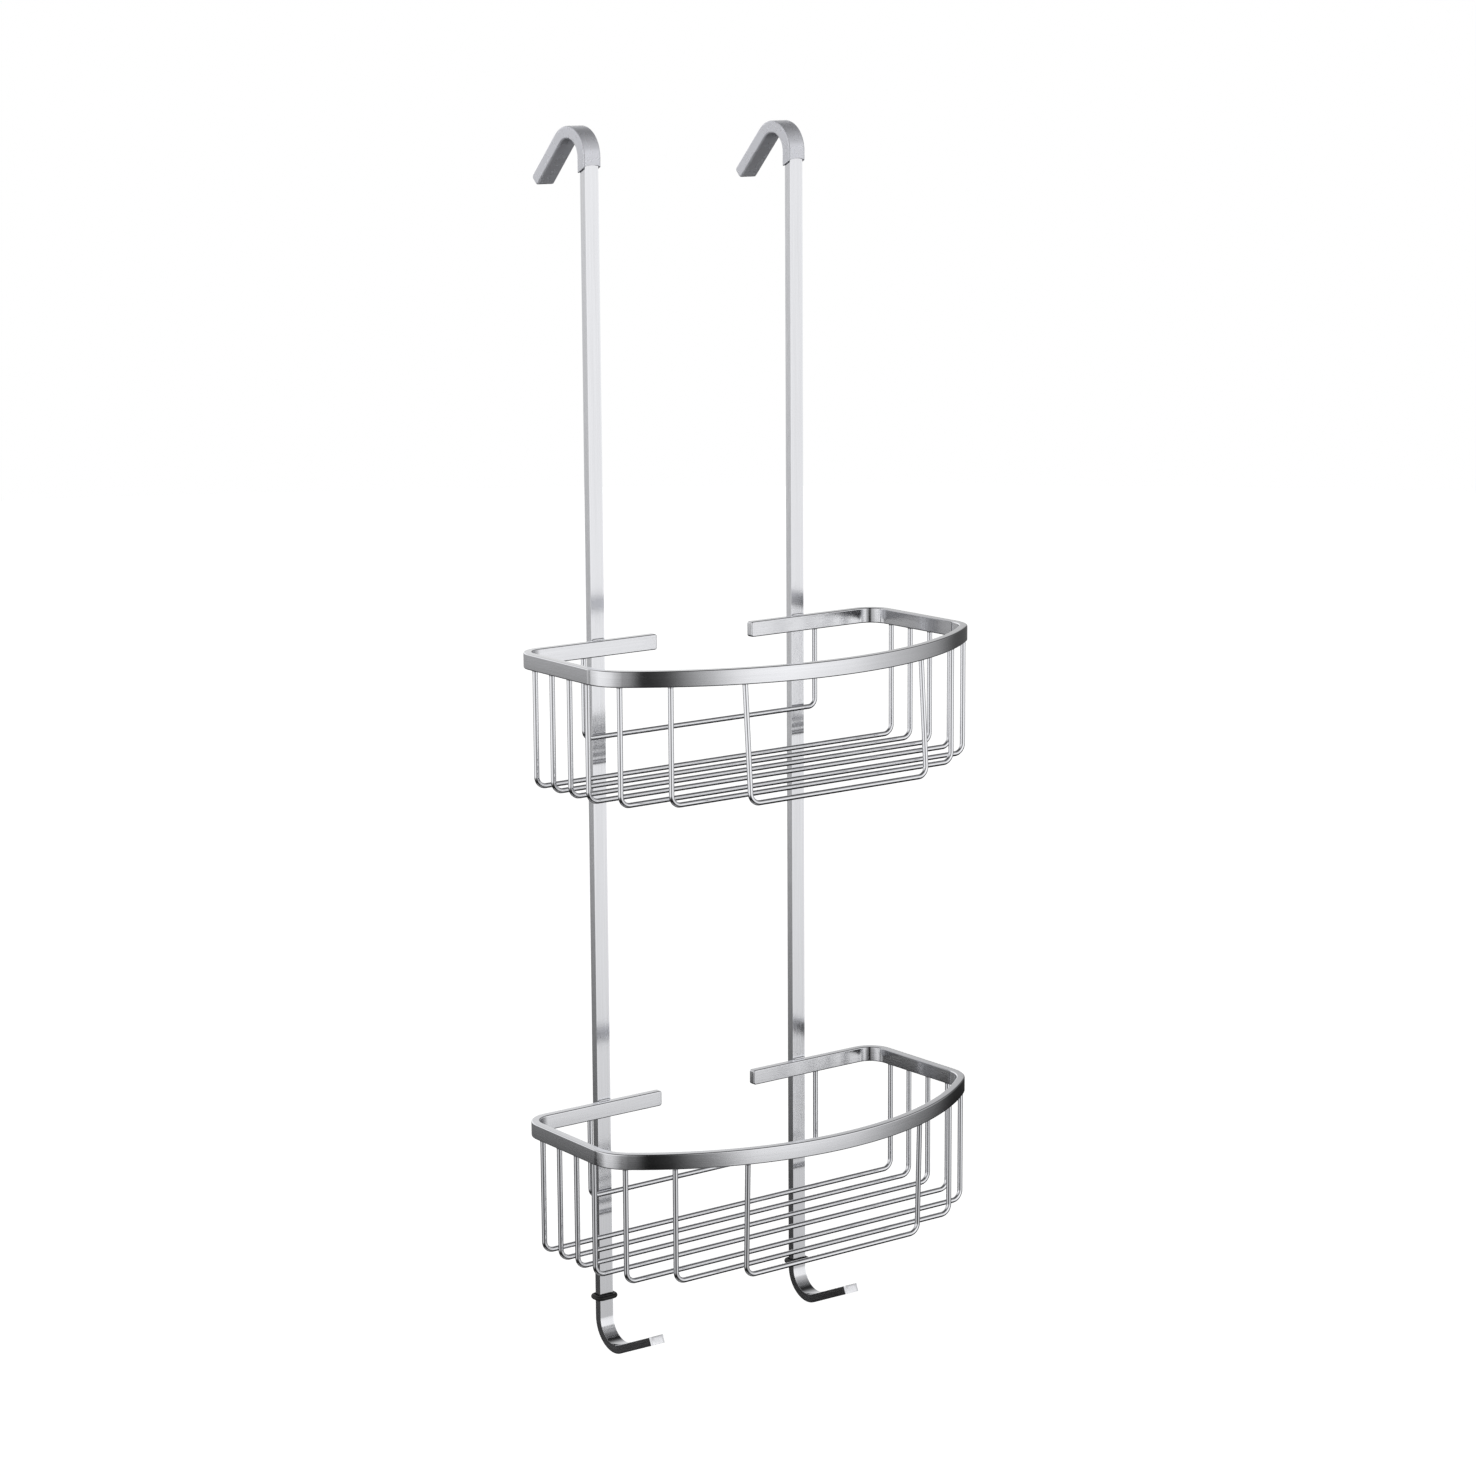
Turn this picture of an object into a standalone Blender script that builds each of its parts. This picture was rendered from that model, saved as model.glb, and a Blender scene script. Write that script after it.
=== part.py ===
"""Hanging two-tier shower caddy: two flat-bar uprights with sleeved top hooks, two D-shaped wire baskets.

Metres, +Z up. The baskets and the bottom hooks point to -Y, the top hooks reach back to +Y over the edge of a
screen or door. The origin is on that edge, midway between the two top hooks.
"""
import math

import bmesh
import bpy
from mathutils import Vector

# Stock
BAR_WIDTH = 0.0096
BAR_THICK = 0.0052
BAR_EDGE = 0.0005
WIRE_RADIUS = 0.0016
WELD_GAP = 0.0003

# Uprights
UPRIGHT_SPACING = 0.152
HOOK_RADIUS = 0.0117
HOOK_LEG_ANGLE = math.radians(44.5)
HOOK_LEG = 0.0338
FOOT_RADIUS = 0.0136
FOOT_RISE = math.radians(24)
FOOT_RUN = 0.0370
HOOK_TO_UPPER_RIM = 0.2867
RIM_SPACING = 0.2875
LOWER_RIM_TO_FOOT = 0.140

# Soft sleeves on the top hooks
SLEEVE_WALL = 0.0009
SLEEVE_END = 0.0016
SLEEVE_REACH = 0.0055
SLEEVE_MOUTH_DROP = 0.0038
SLEEVE_EDGE = 0.0006

# Baskets, measured from the rear face of the rim
RIM_HALF_WIDTH = 0.1374
RIM_DEPTH = 0.1467
RIM_REAR_RADIUS = 0.0165
RIM_FLARE = math.radians(1.2)
RIM_CORNER_RADIUS = 0.027
RIM_FRONT_RADIUS = 0.203
RIM_END_X = 0.036
FLOOR_DROP = 0.0794
WIRE_DEPTHS = (0.0200, 0.0382, 0.0567, 0.0756, 0.0971, 0.1143, 0.1330)
WIRE_BEND = 0.006
FRONT_WIRE_LEAN = {"upper": 0.005, "lower": -0.002}
GUARD_HALF_WIDTH = 0.088
GUARD_DROP = 0.059
GUARD_BEND = 0.005

# Bumper rings on the uprights, below the lower rim
RING_SECTION = 0.0015
RING_FIT = 0.0003
RING_BEND = 0.0012
RING_DROP = {"left": 0.127, "right": 0.136}

# Meshing
ARC_STEPS = 6
BEND_STEPS = 4
WIRE_ROUNDING = 2
MERGE_DISTANCE = 0.00001
SHARP_ANGLE = math.radians(50)

SLEEVE_OFFSET = WELD_GAP + SLEEVE_WALL
HOOK_CENTRE_Z = SLEEVE_OFFSET - HOOK_RADIUS
FRONT_Y = -HOOK_RADIUS - BAR_THICK
UPPER_RIM_Z = HOOK_CENTRE_Z - HOOK_TO_UPPER_RIM
LOWER_RIM_Z = UPPER_RIM_Z - RIM_SPACING
FOOT_CENTRE_Z = LOWER_RIM_Z - LOWER_RIM_TO_FOOT
RIM_REAR_Y = FRONT_Y - WELD_GAP

STEEL = {"colour": (0.78, 0.78, 0.77), "roughness": 0.28, "metallic": 1.0}
SLEEVE_PLASTIC = {"colour": (0.55, 0.57, 0.60), "roughness": 0.45, "metallic": 0.0}
RUBBER = {"colour": (0.02, 0.02, 0.022), "roughness": 0.6, "metallic": 0.0}

SIDES = {"left": -1, "right": 1}
RIM_TOPS = {"upper": UPPER_RIM_Z, "lower": LOWER_RIM_Z}


def clear_scene():
    """Remove every object, mesh and curve."""
    for item in list(bpy.data.objects):
        bpy.data.objects.remove(item, do_unlink=True)
    for store in (bpy.data.meshes, bpy.data.curves, bpy.data.materials, bpy.data.collections):
        for item in list(store):
            store.remove(item)


def make_collection(name):
    """A collection linked to the scene."""
    collection = bpy.data.collections.new(name)
    bpy.context.scene.collection.children.link(collection)
    return collection


def principled(name, finish):
    """A Principled material with the given finish."""
    material = bpy.data.materials.new(name)
    material.use_nodes = True
    shader = material.node_tree.nodes["Principled BSDF"]
    shader.inputs["Base Color"].default_value = (*finish["colour"], 1.0)
    shader.inputs["Roughness"].default_value = finish["roughness"]
    shader.inputs["Metallic"].default_value = finish["metallic"]
    return material


def dress(item, finish, collection):
    """Name the material for the piece and put the piece in its collection."""
    item.data.materials.clear()
    item.data.materials.append(principled(item.name + "_finish", finish))
    collection.objects.link(item)


def arc(centre, radius, start, end, steps):
    """Points on an arc of a plane, both ends included."""
    points = []
    for step in range(steps + 1):
        angle = start + (end - start) * step / steps
        points.append((centre[0] + radius * math.cos(angle), centre[1] + radius * math.sin(angle)))
    return points


def baked(curve_object):
    """Turn a curve object into a welded mesh object of the same name and place."""
    bpy.context.scene.collection.objects.link(curve_object)
    graph = bpy.context.evaluated_depsgraph_get()
    mesh = bpy.data.meshes.new_from_object(curve_object.evaluated_get(graph))
    body = bmesh.new()
    body.from_mesh(mesh)
    bmesh.ops.remove_doubles(body, verts=body.verts, dist=MERGE_DISTANCE)
    bmesh.ops.recalc_face_normals(body, faces=body.faces)
    body.to_mesh(mesh)
    body.free()
    name = curve_object.name
    place = curve_object.matrix_world.copy()
    bpy.data.objects.remove(curve_object, do_unlink=True)
    item = bpy.data.objects.new(name, mesh)
    item.matrix_world = place
    return item


def slab(name, outline, thickness, edge=0.0):
    """A flat closed outline in XY, extruded to a slab centred on Z = 0, with its sharp edges eased."""
    body = bmesh.new()
    lower = [body.verts.new((x, y, -thickness / 2)) for x, y in outline]
    upper = [body.verts.new((x, y, thickness / 2)) for x, y in outline]
    body.faces.new(lower)
    body.faces.new(upper)
    for here in range(len(outline)):
        before = here - 1
        body.faces.new((lower[before], lower[here], upper[here], upper[before]))
    bmesh.ops.recalc_face_normals(body, faces=body.faces)
    mesh = bpy.data.meshes.new(name)
    body.to_mesh(mesh)
    body.free()
    item = bpy.data.objects.new(name, mesh)
    if edge:
        bevel = item.modifiers.new("eased_edges", "BEVEL")
        bevel.width = edge
        bevel.segments = 1
        bevel.limit_method = "ANGLE"
        bevel.angle_limit = SHARP_ANGLE
    return item


def turn_to_side_view(item, x):
    """Carry a slab drawn in XY into the YZ plane at x: its drawn X becomes Y and its drawn Y becomes Z."""
    for vertex in item.data.vertices:
        vertex.co = Vector((x + vertex.co.z, vertex.co.x, vertex.co.y))


def wire(name, points, radius, closed=False):
    """A round wire along the points, with filled ends."""
    data = bpy.data.curves.new(name, "CURVE")
    data.dimensions = "3D"
    data.bevel_depth = radius
    data.bevel_resolution = WIRE_ROUNDING
    data.use_fill_caps = not closed
    spline = data.splines.new("POLY")
    spline.points.add(len(points) - 1)
    for point, place in zip(spline.points, points):
        point.co = (*place, 1.0)
    spline.use_cyclic_u = closed
    spline.use_smooth = True
    item = baked(bpy.data.objects.new(name, data))
    item.data.shade_smooth()
    item.data.set_sharp_from_angle(angle=SHARP_ANGLE)
    return item


def hook_line(offset, leg):
    """The top hook's inner line moved outward by offset: up the rear of the upright, over, and down the leg."""
    radius = HOOK_RADIUS + offset
    centre = (0.0, HOOK_CENTRE_Z)
    bend = arc(centre, radius, math.pi, HOOK_LEG_ANGLE, 2 * ARC_STEPS)
    end_y = bend[-1][0] + leg * math.sin(HOOK_LEG_ANGLE)
    end_z = bend[-1][1] - leg * math.cos(HOOK_LEG_ANGLE)
    return bend + [(end_y, end_z)]


def foot_line(offset):
    """The bottom hook's inner line moved outward by offset: down the front face, forward, and up the run."""
    radius = FOOT_RADIUS + offset
    centre = (FRONT_Y - FOOT_RADIUS, FOOT_CENTRE_Z)
    bend = arc(centre, radius, 0.0, -math.pi / 2 - FOOT_RISE, 2 * ARC_STEPS)
    end_y = bend[-1][0] - FOOT_RUN * math.cos(FOOT_RISE)
    end_z = bend[-1][1] + FOOT_RUN * math.sin(FOOT_RISE)
    return bend + [(end_y, end_z)]


def make_upright(side, collection):
    """One flat bar: rear leg, top hook, upright and bottom hook."""
    outer = hook_line(BAR_THICK, HOOK_LEG)
    inner = hook_line(0.0, HOOK_LEG)
    front = foot_line(0.0)
    rear = foot_line(BAR_THICK)
    outline = outer[::-1] + front + rear[::-1] + inner
    item = slab(side + "_upright", outline, BAR_WIDTH, BAR_EDGE)
    turn_to_side_view(item, SIDES[side] * UPRIGHT_SPACING / 2)
    dress(item, STEEL, collection)


def make_sleeve(side, collection, cutters):
    """A soft sleeve pushed over the top hook from the tip of its leg, closed at the tip."""
    x = SIDES[side] * UPRIGHT_SPACING / 2
    mouth_z = HOOK_CENTRE_Z - SLEEVE_REACH
    outer = hook_line(BAR_THICK + SLEEVE_OFFSET, HOOK_LEG + SLEEVE_END)
    inner = hook_line(-SLEEVE_OFFSET, HOOK_LEG + SLEEVE_END)
    front_foot = (outer[0][0], mouth_z)
    rear_foot = (inner[0][0], mouth_z - SLEEVE_MOUTH_DROP)
    item = slab(side + "_hook_sleeve", [front_foot] + outer + inner[::-1] + [rear_foot],
                BAR_WIDTH + 2 * SLEEVE_OFFSET, SLEEVE_EDGE)
    turn_to_side_view(item, x)

    clear_outer = hook_line(BAR_THICK + WELD_GAP, HOOK_LEG + WELD_GAP)
    clear_inner = hook_line(-WELD_GAP, HOOK_LEG + WELD_GAP)
    below = mouth_z - SLEEVE_REACH
    cutter = slab(side + "_sleeve_hollow",
                  [(clear_outer[0][0], below)] + clear_outer + clear_inner[::-1] + [(clear_inner[0][0], below)],
                  BAR_WIDTH + 2 * WELD_GAP)
    turn_to_side_view(cutter, x)
    cutter.display_type = "WIRE"
    cutter.hide_render = True
    cutters.objects.link(cutter)

    hollow = item.modifiers.new("hollow", "BOOLEAN")
    hollow.operation = "DIFFERENCE"
    hollow.solver = "EXACT"
    hollow.object = cutter
    dress(item, SLEEVE_PLASTIC, collection)


def rim_half_line(offset):
    """Half of the rim in plan, moved inward by offset, from its free end at the rear to the middle of its front.

    The rear bar is on Y = 0, the side flares outward to the front, and one large arc closes the front.
    """
    side_dir = Vector((math.sin(RIM_FLARE), -math.cos(RIM_FLARE)))
    inward = Vector((-math.cos(RIM_FLARE), -math.sin(RIM_FLARE)))
    on_side = Vector((RIM_HALF_WIDTH, 0.0)) + inward * offset
    side_angle = math.atan2(-inward.y, -inward.x)

    rear_radius = RIM_REAR_RADIUS - offset
    rear_centre_y = -offset - rear_radius
    from_side = on_side + inward * rear_radius
    along = (rear_centre_y - from_side.y) / side_dir.y
    rear_centre = from_side + side_dir * along

    front_radius = RIM_FRONT_RADIUS - offset
    front_centre = Vector((0.0, RIM_FRONT_RADIUS - RIM_DEPTH))
    corner_radius = RIM_CORNER_RADIUS - offset
    start = on_side + inward * corner_radius - front_centre
    half_b = start.dot(side_dir)
    rest = start.dot(start) - (front_radius - corner_radius) ** 2
    along = -half_b + math.sqrt(half_b * half_b - rest)
    corner_centre = front_centre + start + side_dir * along
    out = corner_centre - front_centre
    corner_end = math.atan2(out.y, out.x)

    line = [(RIM_END_X, -offset)]
    line += arc(rear_centre, rear_radius, math.pi / 2, side_angle, ARC_STEPS)
    line += arc(corner_centre, corner_radius, side_angle, corner_end, ARC_STEPS)
    line += arc(front_centre, front_radius, corner_end, -math.pi / 2, 2 * ARC_STEPS)[1:]
    return line


def rim_line(offset):
    """The whole rim line, from the right free end round the front to the left free end."""
    half = rim_half_line(offset)
    mirrored = [(-x, y) for x, y in half[:-1]]
    return half + mirrored[::-1]


def rim_half_width_at(depth):
    """Half the width of the rim's centre line at a depth in front of its rear face."""
    line = rim_half_line(BAR_THICK / 2)
    for (x0, y0), (x1, y1) in zip(line, line[1:]):
        if x0 > RIM_END_X and y1 <= -depth <= y0 and y1 < y0:
            return x0 + (x1 - x0) * (y0 + depth) / (y0 - y1)
    raise ValueError("no rim at that depth")


def make_rim(tier, collection):
    """One flat bar on edge, bent to a D with its rear open in the middle."""
    outline = rim_line(0.0) + rim_line(BAR_THICK)[::-1]
    item = slab(tier + "_rim", outline, BAR_WIDTH, BAR_EDGE)
    for vertex in item.data.vertices:
        vertex.co += Vector((0.0, RIM_REAR_Y, RIM_TOPS[tier] - BAR_WIDTH / 2))
    dress(item, STEEL, collection)


def u_wire(name, half_width, y, top, bottom, bend, lean=0.0):
    """A wire down, across and up again in an upright plane, its run carried forward by lean."""
    right = arc((half_width - bend, bottom + bend), bend, 0.0, -math.pi / 2, BEND_STEPS)
    half = [(half_width, top)] + right
    line = half + [(-x, z) for x, z in half[::-1]]
    points = [(x, y - lean * (top - z) / (top - bottom), z) for x, z in line]
    return wire(name, points, WIRE_RADIUS)


def make_basket_wires(tier, collection):
    """The U-shaped wires that hang under the rim and carry the load, numbered from the rear."""
    top = RIM_TOPS[tier] - BAR_WIDTH - WELD_GAP
    bottom = RIM_TOPS[tier] - FLOOR_DROP
    for number, depth in enumerate(WIRE_DEPTHS, start=1):
        lean = FRONT_WIRE_LEAN[tier] if number == len(WIRE_DEPTHS) else 0.0
        name = "%s_basket_wire_%d" % (tier, number)
        item = u_wire(name, rim_half_width_at(depth), RIM_REAR_Y - depth, top, bottom, WIRE_BEND, lean)
        dress(item, STEEL, collection)


def make_guard_wire(tier, collection):
    """The wire behind the basket that crosses the front of both uprights."""
    top = RIM_TOPS[tier] - BAR_WIDTH - WELD_GAP
    bottom = RIM_TOPS[tier] - GUARD_DROP
    y = FRONT_Y - WELD_GAP - WIRE_RADIUS
    item = u_wire(tier + "_guard_wire", GUARD_HALF_WIDTH, y, top, bottom, GUARD_BEND)
    dress(item, STEEL, collection)


def make_bumper_ring(side, collection):
    """A rubber ring stretched round the upright, with its origin on the bar's middle line."""
    reach = RING_FIT + RING_SECTION
    half_x = BAR_WIDTH / 2 + reach
    half_y = BAR_THICK / 2 + reach
    bend = RING_BEND + reach
    line = []
    for quarter, (sx, sy) in enumerate(((1, 1), (-1, 1), (-1, -1), (1, -1))):
        centre = (sx * (half_x - bend), sy * (half_y - bend))
        start = quarter * math.pi / 2
        line += arc(centre, bend, start, start + math.pi / 2, BEND_STEPS)
    item = wire(side + "_bumper_ring", [(x, y, 0.0) for x, y in line], RING_SECTION, closed=True)
    item.location = (SIDES[side] * UPRIGHT_SPACING / 2, FRONT_Y + BAR_THICK / 2,
                     LOWER_RIM_Z - RING_DROP[side])
    dress(item, RUBBER, collection)


def main():
    """Build the caddy."""
    clear_scene()
    collection = make_collection("shower_caddy")
    cutters = make_collection("cutters")
    for side in SIDES:
        make_upright(side, collection)
        make_sleeve(side, collection, cutters)
        make_bumper_ring(side, collection)
    for tier in RIM_TOPS:
        make_rim(tier, collection)
        make_guard_wire(tier, collection)
        make_basket_wires(tier, collection)


main()
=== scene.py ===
"""Looks of a hanging two-tier shower caddy, laid out as an add-on and run as a script.

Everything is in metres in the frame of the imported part: +Z up, the baskets toward -Y, and the top hooks
reaching back toward +Y over the edge of a screen.
"""
import math

import bmesh
import bpy
import numpy as np
from bpy.props import FloatProperty, FloatVectorProperty
from mathutils import Matrix, Vector


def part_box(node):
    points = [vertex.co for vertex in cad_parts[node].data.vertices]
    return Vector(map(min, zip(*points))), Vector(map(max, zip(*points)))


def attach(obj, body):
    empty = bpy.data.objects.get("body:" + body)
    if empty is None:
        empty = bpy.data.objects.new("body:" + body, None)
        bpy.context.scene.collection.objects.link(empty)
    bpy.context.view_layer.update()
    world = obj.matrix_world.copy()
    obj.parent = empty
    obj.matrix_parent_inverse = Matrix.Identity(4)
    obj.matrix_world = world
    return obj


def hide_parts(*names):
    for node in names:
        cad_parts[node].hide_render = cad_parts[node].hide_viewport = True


bl_info = {
    "name": "Two-Tier Shower Caddy",
    "version": (1, 0, 0),
    "blender": (4, 5, 0),
    "location": "View3D > Sidebar > Shower Caddy",
    "description": "Builds a hanging shower caddy of satin steel bar and wire with soft hook sleeves",
    "category": "Add Mesh",
}

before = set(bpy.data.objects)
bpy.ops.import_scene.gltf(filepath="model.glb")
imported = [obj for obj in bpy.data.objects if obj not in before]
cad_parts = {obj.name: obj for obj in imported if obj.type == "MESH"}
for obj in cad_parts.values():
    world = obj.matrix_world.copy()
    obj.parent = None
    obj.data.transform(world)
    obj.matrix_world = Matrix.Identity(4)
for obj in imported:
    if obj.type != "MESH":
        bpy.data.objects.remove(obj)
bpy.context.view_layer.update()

TIERS = ("upper", "lower")
SIDES = ("left", "right")

X_AXIS = Vector((1.0, 0.0, 0.0))
Y_AXIS = Vector((0.0, 1.0, 0.0))
Z_AXIS = Vector((0.0, 0.0, 1.0))
QUARTER = math.pi / 2


def middle_of(node):
    """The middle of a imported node's box."""
    low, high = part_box(node)
    return (low + high) / 2


RIM_TOP = {tier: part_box(tier + "_rim")[1].z for tier in TIERS}
RIM_REAR_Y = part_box("upper_rim")[1].y
UPRIGHT_X = {side: middle_of(side + "_upright").x for side in SIDES}
BAR_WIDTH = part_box("left_upright")[1].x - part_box("left_upright")[0].x
SLEEVE_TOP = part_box("left_hook_sleeve")[1].z
SLEEVE_HALF_SPARE = (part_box("left_hook_sleeve")[1].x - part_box("left_hook_sleeve")[0].x - BAR_WIDTH) / 2


# Sizes and finishes

class CaddyBars(bpy.types.PropertyGroup):
    """The two flat bars that the caddy hangs by."""
    thickness: FloatProperty(
        name="Bar Thickness", description="Thickness of the flat bar stock", default=0.0052, unit="LENGTH")
    edge: FloatProperty(
        name="Eased Edge", description="Width of the softened long edges", default=0.0008, unit="LENGTH")
    end_round: FloatProperty(
        name="End Rounding", description="Radius of the corners of a bar's end",
        default=0.0014, unit="LENGTH")
    hook_radius: FloatProperty(
        name="Top Hook Radius", description="Inner radius of the top hook", default=0.0117, unit="LENGTH")
    hook_angle: FloatProperty(
        name="Top Hook Angle", description="How far the hook's leg stands off the upright",
        default=math.radians(44.5), unit="ROTATION")
    hook_leg: FloatProperty(
        name="Top Hook Leg", description="Straight length of the top hook's leg",
        default=0.0338, unit="LENGTH")
    foot_drop: FloatProperty(
        name="Foot Drop", description="From the lower rim's top down to the bottom hook's centre",
        default=0.140, unit="LENGTH")
    foot_radius: FloatProperty(
        name="Bottom Hook Radius", description="Inner radius of the bottom hook",
        default=0.0136, unit="LENGTH")
    foot_rise: FloatProperty(
        name="Bottom Hook Rise", description="Slope of the bottom hook's run",
        default=math.radians(24), unit="ROTATION")
    foot_run: FloatProperty(
        name="Bottom Hook Run", description="Straight length of the bottom hook's run",
        default=0.0370, unit="LENGTH")


class CaddySleeves(bpy.types.PropertyGroup):
    """The soft sleeves on the top hooks."""
    wall: FloatProperty(
        name="Wall", description="Thickness of the sleeve's wall", default=0.0009, unit="LENGTH")
    end: FloatProperty(
        name="Closed End", description="How far the closed end stands past the bar",
        default=0.0016, unit="LENGTH")
    reach: FloatProperty(
        name="Reach", description="How far the mouth comes down below the hook's centre",
        default=0.0055, unit="LENGTH")
    mouth_drop: FloatProperty(
        name="Mouth Slope", description="How much lower the mouth is at the rear",
        default=0.0038, unit="LENGTH")
    mouth_arch: FloatProperty(
        name="Mouth Arch", description="Height of the arch in the mouth's edge",
        default=0.0010, unit="LENGTH")
    edge: FloatProperty(
        name="Soft Edge", description="Radius of the sleeve's long edges", default=0.0010, unit="LENGTH")
    tip_round: FloatProperty(
        name="Tip Rounding", description="Radius of the closed tip", default=0.0019, unit="LENGTH")


class CaddyBaskets(bpy.types.PropertyGroup):
    """The flat-bar rims and the wires that hang under them."""
    half_width: FloatProperty(
        name="Half Width", description="Half the rim's width at its rear", default=0.1374, unit="LENGTH")
    depth: FloatProperty(
        name="Depth", description="From the rim's rear face to the middle of its front",
        default=0.1467, unit="LENGTH")
    flare: FloatProperty(
        name="Side Flare", description="How much the sides open toward the front",
        default=math.radians(1.2), unit="ROTATION")
    rear_radius: FloatProperty(
        name="Rear Corner", description="Outer radius of the rear corners", default=0.0165, unit="LENGTH")
    corner_radius: FloatProperty(
        name="Front Corner", description="Outer radius of the front corners", default=0.027, unit="LENGTH")
    front_radius: FloatProperty(
        name="Front Bow", description="Outer radius of the bowed front", default=0.203, unit="LENGTH")
    free_end: FloatProperty(
        name="Free End", description="From the middle to each free end of the rim",
        default=0.036, unit="LENGTH")
    wire_radius: FloatProperty(
        name="Wire Radius", description="Radius of the round wire", default=0.0016, unit="LENGTH")
    wire_bend: FloatProperty(
        name="Wire Bend", description="Bend radius of the basket wires", default=0.006, unit="LENGTH")
    floor_drop: FloatProperty(
        name="Floor Drop", description="From the rim's top to the floor wires' middle",
        default=0.0794, unit="LENGTH")
    guard_half_width: FloatProperty(
        name="Guard Half Width", description="Half the width of the rear guard wire",
        default=0.088, unit="LENGTH")
    guard_drop: FloatProperty(
        name="Guard Drop", description="From the rim's top to the guard wire", default=0.059, unit="LENGTH")
    guard_bend: FloatProperty(
        name="Guard Bend", description="Bend radius of the guard wire", default=0.005, unit="LENGTH")


class CaddyRings(bpy.types.PropertyGroup):
    """The rubber rings that keep the uprights off the glass."""
    section: FloatProperty(
        name="Section Radius", description="Radius of the ring's round section",
        default=0.0015, unit="LENGTH")
    fit: FloatProperty(
        name="Fit", description="Room between the ring and the bar", default=0.0003, unit="LENGTH")
    bend: FloatProperty(
        name="Corner", description="Inner radius of the ring's corners", default=0.0012, unit="LENGTH")


class CaddyFinishes(bpy.types.PropertyGroup):
    """Colours and surface of the steel, the sleeves and the rings."""
    steel_colour: FloatVectorProperty(
        name="Steel", description="Colour of the satin steel",
        default=(0.775, 0.78, 0.805), subtype="COLOR", size=3)
    steel_roughness: FloatProperty(
        name="Steel Roughness", description="Roughness between the grain lines",
        default=0.075, subtype="FACTOR")
    sleeve_colour: FloatVectorProperty(
        name="Sleeve", description="Colour of the soft sleeves",
        default=(0.93, 0.94, 1.0), subtype="COLOR", size=3)
    ring_colour: FloatVectorProperty(
        name="Ring", description="Colour of the rubber rings",
        default=(0.006, 0.006, 0.0065), subtype="COLOR", size=3)


class CaddyStage(bpy.types.PropertyGroup):
    """Camera, floor and soft light."""
    lens: FloatProperty(name="Lens", description="Focal length in millimetres", default=89.93)
    azimuth: FloatProperty(
        name="Azimuth", description="Camera's turn round the caddy",
        default=math.radians(-36.879), unit="ROTATION")
    elevation: FloatProperty(
        name="Elevation", description="Camera's height angle", default=math.radians(10.983), unit="ROTATION")
    roll: FloatProperty(
        name="Roll", description="Camera's tilt", default=math.radians(-0.349), unit="ROTATION")
    distance: FloatProperty(
        name="Distance", description="From the camera to the point it looks at",
        default=2.2757, unit="LENGTH")
    floor_depth: FloatProperty(
        name="Floor", description="From the screen's top edge down to the floor", default=1.95, unit="LENGTH")
    floor_colour: FloatVectorProperty(
        name="Floor Colour", description="Colour of the pale floor",
        default=(0.92, 0.92, 0.92), subtype="COLOR", size=3)


# Depth of each basket wire in front of the rim's rear face, from the rear, as bent and welded by hand
WIRE_DEPTHS = (0.0200, 0.0382, 0.0567, 0.0756, 0.0971, 0.1143, 0.1330)
# How far the front wire's floor stands in front of its welds
FRONT_WIRE_LEAN = {"upper": 0.005, "lower": -0.002}
# A wire's section shrinks twice over this length as it leaves its weld
WELD_FLARE = 0.0010
FIRST_SHRINK = 0.93
SECOND_SHRINK = 0.97
# Strips across a sleeve's broad faces, so that its mouth can arch
SLEEVE_STRIPS = 8
# Distance under which two places count as one
SLACK = 1e-5
# The point that the camera looks at
AIM = Vector((0.01877, -0.03037, -0.36689))


# Modelling by hand: a section is drawn out along runs and bends

def clear_selection():
    """Leave edit mode and deselect everything."""
    if bpy.context.mode != "OBJECT":
        bpy.ops.object.mode_set(mode="OBJECT")
    bpy.ops.object.select_all(action="DESELECT")


def open_section(name):
    """Name the new section, put its place in its mesh, and open it with all of it selected."""
    piece = bpy.context.object
    piece.name = name
    piece.data.name = name
    bpy.ops.object.transform_apply(location=True, rotation=True, scale=True)
    bpy.ops.object.mode_set(mode="EDIT")
    bpy.ops.mesh.select_all(action="SELECT")
    return piece


def flat_section(name, place, turn, width, thickness):
    """The rectangle that a flat bar is drawn from."""
    clear_selection()
    bpy.ops.mesh.primitive_plane_add(size=1, location=place, rotation=turn)
    bpy.context.object.scale = (width, thickness, 1.0)
    return open_section(name)


def round_section(name, place, turn, radius, sides):
    """The disc that a wire is drawn from."""
    clear_selection()
    bpy.ops.mesh.primitive_circle_add(vertices=sides, radius=radius, fill_type="NGON", location=place,
                                      rotation=turn)
    return open_section(name)


def run(vector):
    """A straight run."""
    return ("run", Vector(vector))


def bend(centre, axis, angle, steps):
    """A bend about an axis through a centre, positive by the right-hand rule."""
    return ("bend", Vector(centre), axis, angle, steps)


def swell(factor):
    """A change of the section's size where it stands."""
    return ("swell", factor)


def centre_line(start, moves):
    """The points that the middle of the section passes through."""
    points = [Vector(start)]
    for move in moves:
        if move[0] == "run":
            points.append(points[-1] + move[1])
        elif move[0] == "bend":
            _, centre, axis, angle, steps = move
            turn = Matrix.Rotation(angle / steps, 3, axis)
            for _ in range(steps):
                points.append(centre + turn @ (points[-1] - centre))
    return points


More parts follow.
